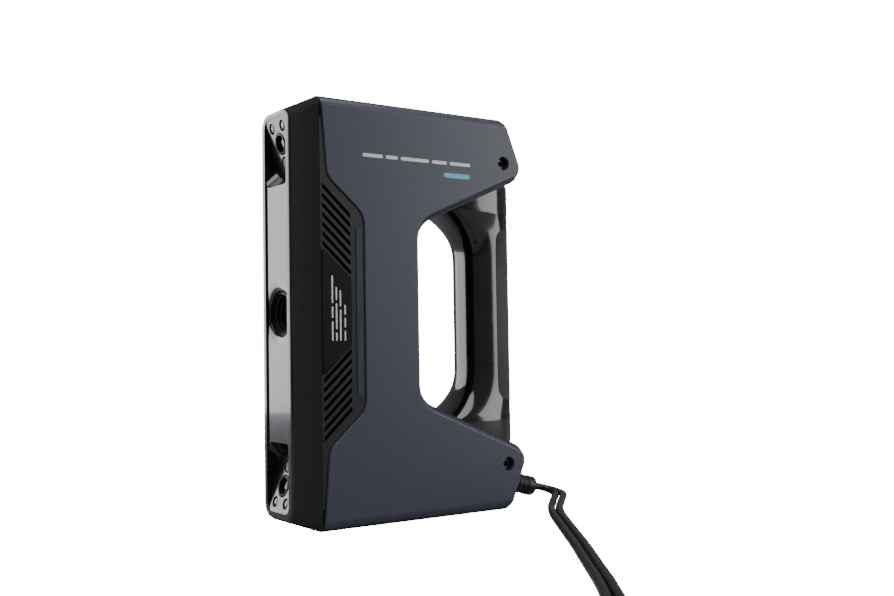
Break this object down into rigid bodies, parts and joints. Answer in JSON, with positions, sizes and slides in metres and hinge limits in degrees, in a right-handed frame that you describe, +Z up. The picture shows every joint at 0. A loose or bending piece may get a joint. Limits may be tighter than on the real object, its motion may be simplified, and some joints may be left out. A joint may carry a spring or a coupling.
{
  "type": "handheld scanner",
  "caption": "Handheld structured-light scanner: a tall two-cover body with a projector between two toed-in cameras, a rubber-backed D-handle with keys, and a twin lead in coils",
  "frame": {"origin": "on the floor below the middle of the body's box, measured without the leads", "axes": "+Z up along the body's height, -Y towards what the lenses look at, +Y towards the handle, +X the scanner's left cover"},
  "size_m": [0.4623, 0.3277, 0.2675],
  "materials": {
    "housing_black": "fine-grained matte black moulding",
    "gloss_black": "piano-black gloss moulding",
    "panel_grey": "satin grey cover, faintly violet",
    "label_black": null,
    "accent_teal": "dark teal-grey inlay",
    "pocket_plate": "gloss black trim plate",
    "lens_barrel": "black anodised, stepped and grooved",
    "lens_glass": "coated optical glass",
    "led_glass": "moulded clear window",
    "led_emitter": "light emitter, resin over phosphor",
    "camera_case": "dark anodised",
    "cast_alloy": "bead-blasted casting",
    "fin_alloy": "extruded, clear anodised",
    "board_green": "solder mask with parts",
    "fan_black": "glass-filled moulding",
    "grip_rubber": "soft-touch grip, fine grain",
    "key_silver": "silver keycap",
    "key_dark": null,
    "status_blue": "light pipe",
    "screw_dark": "black oxide",
    "switch_metal": "stamped can",
    "gland_black": "ribbed black nylon",
    "lead_black": "smooth flexible jacket",
    "tie_black": "hook-and-loop tape",
    "plug_black": "over-moulded plug with a metal contact end"
  },
  "bodies": {
    "scanner": {"front_bezel": "housing_black", "front_fascia": "gloss_black", "camera_plate_upper": "pocket_plate", "camera_plate_lower": "pocket_plate", "camera_barrel_upper": "lens_barrel", "camera_barrel_lower": "lens_barrel", "camera_glass_upper": "lens_glass", "camera_glass_lower": "lens_glass", "camera_body_upper": "camera_case", "camera_body_lower": "camera_case", "camera_board_upper": "board_green", "camera_board_lower": "board_green", "camera_brackets": "cast_alloy", "led_windows": "led_glass", "led_boards": "board_green", "fill_lights": "led_emitter", "projector_barrel": "lens_barrel", "projector_glass": "lens_glass", "projector_housing": "camera_case", "heat_sink": "fin_alloy", "fan_frame": "fan_black", "optical_bench": "cast_alloy", "main_board": "board_green", "io_board": "board_green", "frame_left": "housing_black", "frame_right": "housing_black", "side_panel_left": "panel_grey", "side_panel_right": "panel_grey", "vent_grille_left": "housing_black", "vent_grille_right": "housing_black", "label_plate_left": "label_black", "label_plate_right": "label_black", "accent_strip_left": "accent_teal", "accent_strip_right": "accent_teal", "handle_left": "gloss_black", "handle_right": "gloss_black", "grip_pad": "grip_rubber", "button_panel": "housing_black", "button_board": "board_green", "tact_switches": "switch_metal", "status_light": "status_blue", "cable_gland": "gland_black", "gland_nut": "gland_black", "inner_leads": "lead_black", "side_screws": "screw_dark", "frame_screws": "screw_dark", "bench_screws": "screw_dark", "usb_cord": "lead_black", "usb_coil": "lead_black", "usb_tie": "tie_black", "usb_plug": "plug_black", "power_cord": "lead_black", "power_coil": "lead_black", "power_tie": "tie_black", "power_plug": "plug_black"},
    "fan": {"fan_rotor": "fan_black"},
    "scan_key": {"scan_button": "key_silver"},
    "plus_key": {"plus_button": "key_dark"},
    "minus_key": {"minus_button": "key_dark"}
  },
  "joints": [
    {"name": "fan_spin", "type": "hinge", "parent": "scanner", "child": "fan", "pos_m": [0, -0.0314, 0.13375], "axis": [0, 1, 0], "continuous": true},
    {"name": "scan_press", "type": "slide", "parent": "scanner", "child": "scan_key", "axis": [0, -1, 0], "range_m": [0, 0.0008], "stiffness_N_per_m": 600, "springref_m": -0.0006},
    {"name": "plus_press", "type": "slide", "parent": "scanner", "child": "plus_key", "axis": [0, -1, 0], "range_m": [0, 0.0008], "stiffness_N_per_m": 600, "springref_m": -0.0006},
    {"name": "minus_press", "type": "slide", "parent": "scanner", "child": "minus_key", "axis": [0, -1, 0], "range_m": [0, 0.0008], "stiffness_N_per_m": 600, "springref_m": -0.0006}
  ]
}
